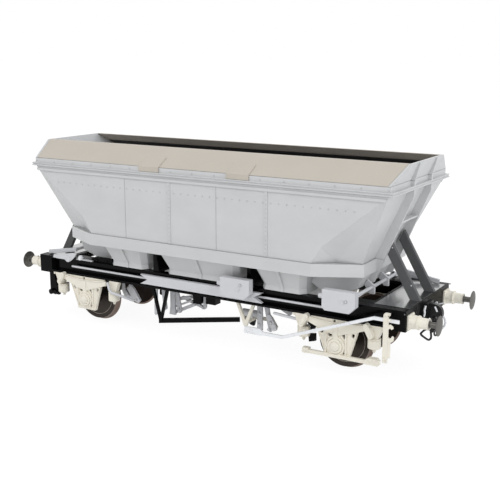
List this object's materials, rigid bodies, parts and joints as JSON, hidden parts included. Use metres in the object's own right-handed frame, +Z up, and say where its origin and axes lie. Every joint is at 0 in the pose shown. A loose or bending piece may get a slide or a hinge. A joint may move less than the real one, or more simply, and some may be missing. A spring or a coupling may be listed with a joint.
{
  "type": "scale model hopper wagon",
  "caption": "Scale model of a two-axle open hopper wagon: sloping ends, canopy sides, bottom pockets, end struts, sprung buffers' housings, screw couplings and turning wheelsets.",
  "frame": {"origin": "on the floor under the middle of the wagon, at the foot of the wheel flanges", "axes": "+X along the wagon towards the right-hand end, +Y away from the near side, +Z up"},
  "size_m": [0.2048, 0.0606, 0.0829],
  "materials": {
    "body_grey": "smooth moulded light grey, unpainted",
    "canopy_beige": "smooth moulded warm grey, unpainted",
    "liner_black": "smooth moulded black",
    "frame_black": "satin moulded black",
    "cream": "smooth moulded cream, unpainted",
    "wheel_metal": "turned metal, darkened",
    "buffer_metal": "blackened metal",
    "coupling_black": "blackened metal",
    "hose_white": "glossy white",
    "plate_grey": "smooth moulded light grey",
    "lever_silver": "bright"
  },
  "bodies": {
    "wagon": {"axleguard_far_left": "cream", "axleguard_far_right": "cream", "axleguard_near_left": "cream", "axleguard_near_right": "cream", "brake_gear_far": "plate_grey", "brake_gear_near": "plate_grey", "brake_hanger_far": "frame_black", "brake_hanger_near": "frame_black", "brake_lever_far": "lever_silver", "brake_lever_near": "lever_silver", "brake_link_far": "plate_grey", "brake_link_near": "plate_grey", "buffer_housing_left_far": "cream", "buffer_housing_left_near": "cream", "buffer_housing_right_far": "cream", "buffer_housing_right_near": "cream", "buffer_ram_left_far": "buffer_metal", "buffer_ram_left_near": "buffer_metal", "buffer_ram_right_far": "buffer_metal", "buffer_ram_right_near": "buffer_metal", "canopy_end_left": "body_grey", "canopy_end_right": "body_grey", "canopy_side_far": "canopy_beige", "canopy_side_near": "canopy_beige", "coupling_left": "coupling_black", "coupling_right": "coupling_black", "door_rod_far": "plate_grey", "door_rod_near": "plate_grey", "door_shaft_left": "plate_grey", "door_shaft_right": "plate_grey", "end_bracket_left": "frame_black", "end_bracket_right": "frame_black", "frame": "frame_black", "gearbox_far_inner": "plate_grey", "gearbox_far_outer": "plate_grey", "gearbox_near_inner": "plate_grey", "gearbox_near_outer": "plate_grey", "headstock_left": "frame_black", "headstock_right": "frame_black", "hopper_base": "body_grey", "hopper_tub": "body_grey", "hose_left": "hose_white", "hose_right": "hose_white", "lever_hanger_far": "cream", "lever_hanger_near": "cream", "lever_post_far": "cream", "lever_post_near": "cream", "liner_far": "liner_black", "liner_near": "liner_black", "side_plate_far": "plate_grey", "side_plate_near": "plate_grey", "strut_left_far": "frame_black", "strut_left_near": "frame_black", "strut_right_far": "frame_black", "strut_right_near": "frame_black", "top_rail": "body_grey", "waist_band": "body_grey"},
    "wheels_left": {"wheelset_left": "wheel_metal"},
    "wheels_right": {"wheelset_right": "wheel_metal"}
  },
  "joints": [
    {"name": "wheels_left_turn", "type": "hinge", "parent": "wagon", "child": "wheels_left", "pos_m": [-0.063, 0, 0.0119], "axis": [0, 1, 0], "continuous": true},
    {"name": "wheels_right_turn", "type": "hinge", "parent": "wagon", "child": "wheels_right", "pos_m": [0.063, 0, 0.0119], "axis": [0, 1, 0], "continuous": true}
  ]
}
